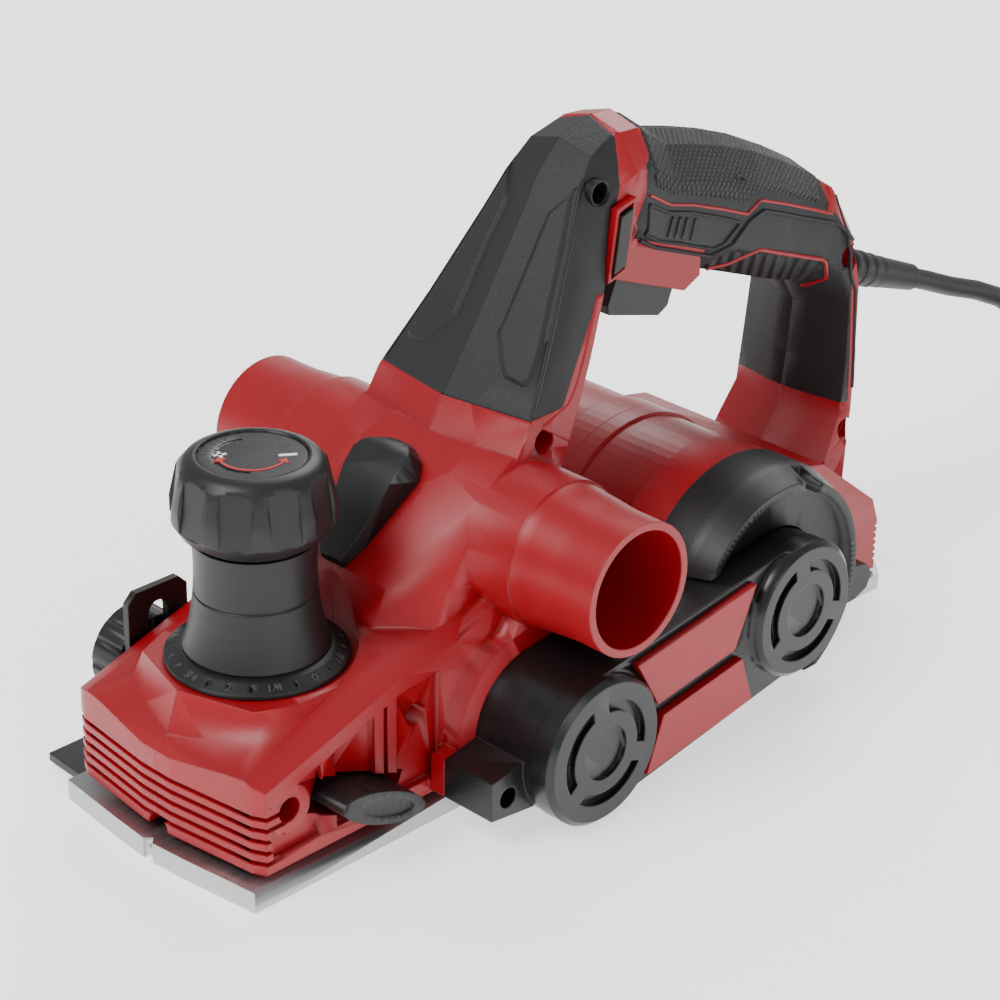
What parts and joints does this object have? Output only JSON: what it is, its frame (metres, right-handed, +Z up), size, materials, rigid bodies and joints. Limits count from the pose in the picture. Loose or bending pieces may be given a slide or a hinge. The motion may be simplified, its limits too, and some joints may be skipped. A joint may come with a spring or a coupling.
{
  "type": "electric hand planer",
  "caption": "Corded electric hand planer with a depth knob, twin chip ports, closed loop handle and belt-driven cutter drum.",
  "frame": {"origin": "on the sole plane and the mid-plane, halfway between the toe and the heel of the sole", "axes": "+X towards the heel and the cord, -X towards the depth knob, -Y the belt side, +Z up"},
  "size_m": [0.505, 0.173, 0.1794],
  "materials": {
    "red_plastic": "satin moulded",
    "soft_black": "fine grained",
    "aluminium": "brushed",
    "steel": "plain",
    "bearing_steel": "polished",
    "brass": "plain",
    "iron": "lacquered",
    "carbon": "matt",
    "belt_rubber": "matt",
    "cord_rubber": "matt",
    "black_plastic": "satin"
  },
  "bodies": {
    "housing": {"housing_left": "red_plastic", "housing_right": "red_plastic", "post_cover_left": "soft_black", "post_cover_right": "soft_black", "grip_cover_left": "soft_black", "grip_cover_right": "soft_black", "lower_grip_pad": "soft_black", "rear_shoe": "aluminium", "rear_shoe_screws": "steel", "shoe_springs": "steel", "depth_bush": "brass", "drum_bearings": "bearing_steel", "drive_belt": "belt_rubber", "stator": "iron", "motor_bearings": "bearing_steel", "brush_holders": "brass", "carbon_brushes": "carbon", "fan_baffle": "black_plastic", "belt_cover": "black_plastic", "cover_panel_upper": "red_plastic", "cover_panel_lower": "red_plastic", "cover_screws": "steel", "motor_end_ring": "black_plastic", "motor_end_cap": "black_plastic", "housing_screws": "steel", "switch_module": "black_plastic", "lock_bezel": "red_plastic", "rest_foot_pin": "steel", "strain_relief": "cord_rubber", "cord_tube": "cord_rubber", "cord_coil": "cord_rubber", "plug_body": "cord_rubber", "plug_pins": "bearing_steel"},
    "depth_knob": {"knob_cap": "black_plastic", "knob_neck": "black_plastic", "scale_ring": "black_plastic", "knob_disc": "black_plastic", "depth_screw": "steel"},
    "shoe": {"front_shoe": "aluminium"},
    "cutter": {"cutter_drum": "aluminium", "blades": "steel", "blade_clamps": "aluminium", "clamp_screws": "steel", "drum_pulley": "aluminium"},
    "armature": {"armature_shaft": "steel", "armature_core": "iron", "commutator": "brass", "motor_fan": "black_plastic", "motor_pulley": "aluminium"},
    "trigger_paddle": {"trigger": "black_plastic"},
    "lock_off": {"lock_button": "black_plastic"},
    "selector": {"selector_lever": "black_plastic", "chip_deflector": "black_plastic"},
    "foot": {"rest_foot": "black_plastic"},
    "gauge": {"depth_gauge": "black_plastic"},
    "gauge_clamp": {"gauge_knob": "black_plastic"},
    "wrench": {"wrench_handle": "black_plastic", "wrench_shank": "steel"}
  },
  "joints": [
    {"name": "knob_turn", "type": "hinge", "parent": "housing", "child": "depth_knob", "pos_m": [-0.1, 0, 0.05], "axis": [0, 0, 1], "range_deg": [-30, 300]},
    {"name": "shoe_slide", "type": "slide", "parent": "housing", "child": "shoe", "axis": [0, 0, 1], "range_m": [-0.0002, 0.002], "deforming": ["shoe_springs"]},
    {"name": "cutter_spin", "type": "hinge", "parent": "housing", "child": "cutter", "pos_m": [-0.036, 0, 0.024], "axis": [0, 1, 0], "continuous": true},
    {"name": "armature_spin", "type": "hinge", "parent": "housing", "child": "armature", "pos_m": [0.052, 0, 0.037], "axis": [0, 1, 0], "continuous": true},
    {"name": "trigger_pull", "type": "slide", "parent": "housing", "child": "trigger_paddle", "axis": [0.3584, 0, 0.9336], "range_m": [0, 0.005], "stiffness_N_per_m": 1200, "springref_m": -0.001},
    {"name": "lock_press", "type": "slide", "parent": "housing", "child": "lock_off", "axis": [0, 1, 0], "range_m": [0, 0.003], "stiffness_N_per_m": 800, "springref_m": -0.001},
    {"name": "selector_turn", "type": "hinge", "parent": "housing", "child": "selector", "pos_m": [-0.04949, 0, 0.08706], "axis": [-0.6807, 0, 0.7325], "range_deg": [-35, 35]},
    {"name": "foot_swing", "type": "hinge", "parent": "housing", "child": "foot", "pos_m": [0.095, -0.045, 0.015], "axis": [0, 1, 0], "range_deg": [0, 60]},
    {"name": "gauge_slide", "type": "slide", "parent": "housing", "child": "gauge", "axis": [0, 0, 1], "range_m": [0, 0.012]},
    {"name": "gauge_knob_turn", "type": "hinge", "parent": "housing", "child": "gauge_clamp", "pos_m": [-0.102, 0.05, 0.031], "axis": [0, 1, 0], "range_deg": [-180, 180]},
    {"name": "wrench_slide", "type": "slide", "parent": "housing", "child": "wrench", "axis": [0, -1, 0], "range_m": [0, 0.05]}
  ],
  "couplings": [
    {"joint": "armature_spin", "follows": "cutter_spin", "ratio": 1.3077},
    {"joint": "shoe_slide", "follows": "knob_turn", "m_per_rad": 0.00038}
  ]
}
